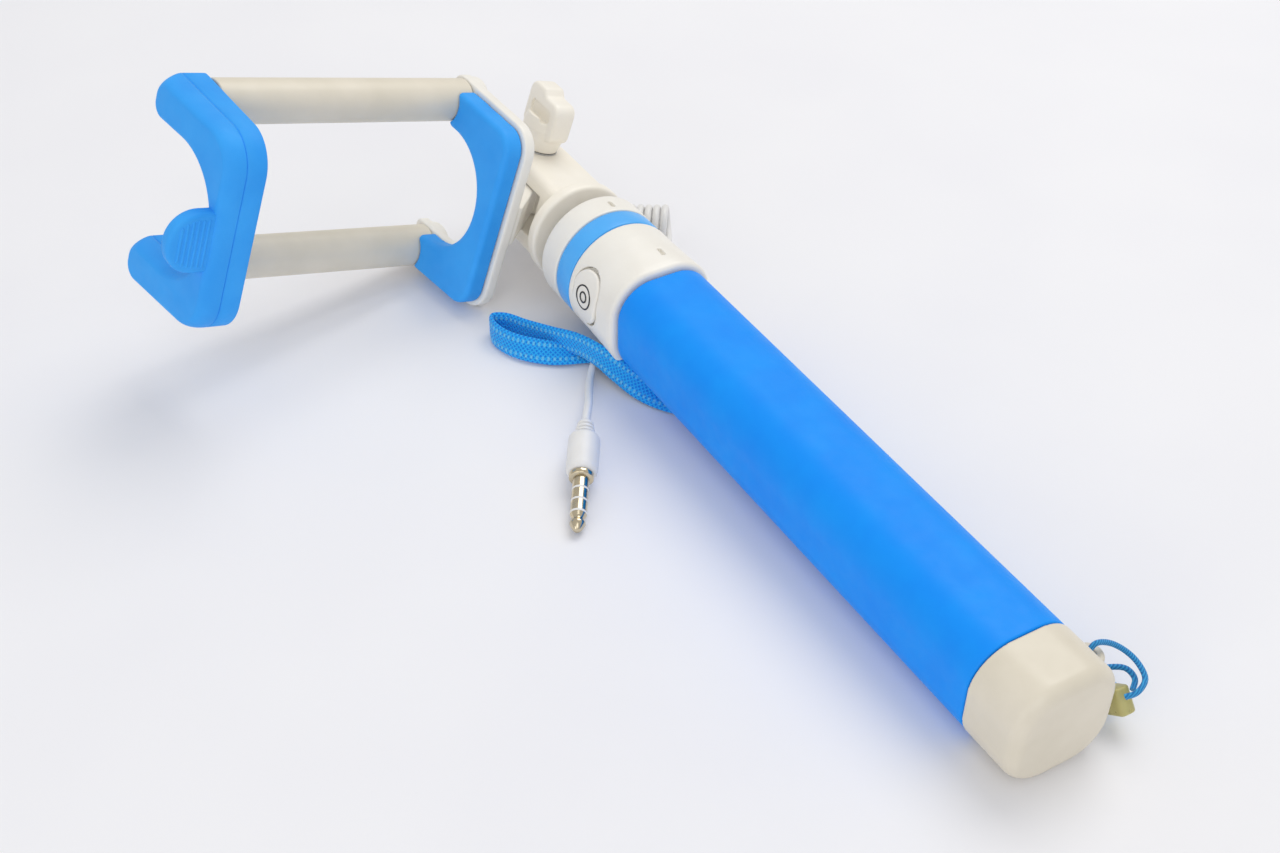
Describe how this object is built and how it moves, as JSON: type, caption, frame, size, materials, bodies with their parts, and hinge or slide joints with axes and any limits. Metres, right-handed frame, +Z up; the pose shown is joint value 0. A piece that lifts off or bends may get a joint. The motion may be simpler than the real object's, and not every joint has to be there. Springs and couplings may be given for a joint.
{
  "type": "selfie stick",
  "caption": "Wired telescopic selfie stick, collapsed: soft-touch handle with shutter button, thumb-screw head, sprung phone clamp, wrist strap and lead with a jack plug",
  "frame": {"origin": "on the table, under the middle of the stick's bounding box with the cords left aside", "axes": "+X from the end cap towards the head, +Y the way the clamp opens, +Z up off the table"},
  "size_m": [0.2066, 0.1312, 0.0705],
  "materials": {
    "cream_plastic": "moulded, lightly glossy, warm white",
    "white_plastic": "moulded, lightly glossy",
    "blue_grip": "satin soft-touch sleeve",
    "blue_plastic": "moulded, lightly glossy",
    "blue_rubber": "satin soft-touch moulding",
    "pole_steel": "drawn thin-walled tube, bright",
    "small_steel": "zinc plated",
    "nut_brass": "turned",
    "board": "solder mask",
    "black_plastic": "moulded",
    "wire_black": "insulated wire",
    "strap_nylon": "braided flat cord",
    "loop_nylon": "thin braided cord",
    "crimp_plastic": "translucent yellowish clip",
    "cable_white": "satin vinyl",
    "plug_metal": "plated, with light insulating rings"
  },
  "bodies": {
    "handle": {"end_cap": "cream_plastic", "grip_sleeve": "blue_grip", "handle_tube": "black_plastic", "grip_collar": "white_plastic", "collar_ring": "blue_plastic", "collar_front": "white_plastic", "circuit_board": "board", "tact_switch": "black_plastic", "signal_wire": "wire_black", "wrist_strap": "strap_nylon", "strap_loop_cord": "loop_nylon", "strap_crimp": "crimp_plastic"},
    "shutter": {"shutter_button": "white_plastic"},
    "section_1": {"tube_1": "pole_steel", "bush_1": "black_plastic"},
    "section_2": {"tube_2": "pole_steel", "bush_2": "black_plastic"},
    "section_3": {"tube_3": "pole_steel", "bush_3": "black_plastic"},
    "section_4": {"tube_4": "pole_steel", "bush_4": "black_plastic"},
    "section_5": {"tube_5": "pole_steel", "bush_5": "black_plastic"},
    "head": {"hub": "cream_plastic", "hinge_nut": "small_steel", "hinge_washer": "small_steel", "cable_gland": "cable_white", "cable_lead": "cable_white", "cable_coil": "cable_white", "cable_tail": "cable_white", "plug_body": "cable_white", "plug_jack": "plug_metal"},
    "thumb_screw": {"thumb_knob": "cream_plastic", "hinge_bolt": "small_steel"},
    "clamp": {"bracket": "white_plastic", "pad": "blue_rubber", "arm_tube_upper": "white_plastic", "arm_tube_lower": "white_plastic", "clamp_spring_upper": "small_steel", "clamp_spring_lower": "small_steel"},
    "jaw": {"jaw_front": "blue_rubber", "jaw_back": "blue_rubber", "guide_rod_upper": "small_steel", "guide_rod_lower": "small_steel", "rod_nut_upper": "nut_brass", "rod_nut_lower": "nut_brass"}
  },
  "joints": [
    {"name": "section_1_slide", "type": "slide", "parent": "handle", "child": "section_1", "axis": [0.9996, 0, 0.0276], "range_m": [0, 0.118], "deforming": ["signal_wire", "cable_coil", "cable_tail", "wrist_strap"]},
    {"name": "section_2_slide", "type": "slide", "parent": "section_1", "child": "section_2", "axis": [0.9996, 0, 0.0276], "range_m": [0, 0.118]},
    {"name": "section_3_slide", "type": "slide", "parent": "section_2", "child": "section_3", "axis": [0.9996, 0, 0.0276], "range_m": [0, 0.118]},
    {"name": "section_4_slide", "type": "slide", "parent": "section_3", "child": "section_4", "axis": [0.9996, 0, 0.0276], "range_m": [0, 0.118]},
    {"name": "section_5_slide", "type": "slide", "parent": "section_4", "child": "section_5", "axis": [0.9996, 0, 0.0276], "range_m": [0, 0.118]},
    {"name": "head_swivel", "type": "hinge", "parent": "section_5", "child": "head", "pos_m": [0.09388, -0.0416, 0.01696], "axis": [0.9996, 0, 0.0276], "range_deg": [-180, 180]},
    {"name": "clamp_tilt", "type": "hinge", "parent": "head", "child": "clamp", "pos_m": [0.09388, -0.0416, 0.01696], "axis": [0.0261, 0.3242, -0.9456], "range_deg": [-5, 277], "deforming": ["cable_lead", "strap_loop_cord"]},
    {"name": "thumb_screw_turn", "type": "hinge", "parent": "head", "child": "thumb_screw", "pos_m": [0.09388, -0.0416, 0.01696], "axis": [-0.0261, -0.3242, 0.9456], "range_deg": [-90, 720]},
    {"name": "jaw_slide", "type": "slide", "parent": "clamp", "child": "jaw", "axis": [-0.1307, 0.9389, 0.3183], "range_m": [0, 0.025], "stiffness_N_per_m": 400, "springref_m": -0.02, "deforming": ["clamp_spring_upper", "clamp_spring_lower"]},
    {"name": "shutter_press", "type": "slide", "parent": "handle", "child": "shutter", "axis": [0.0057, -0.9781, -0.2078], "range_m": [0, 0.0004], "stiffness_N_per_m": 2500, "springref_m": -0.0002}
  ]
}
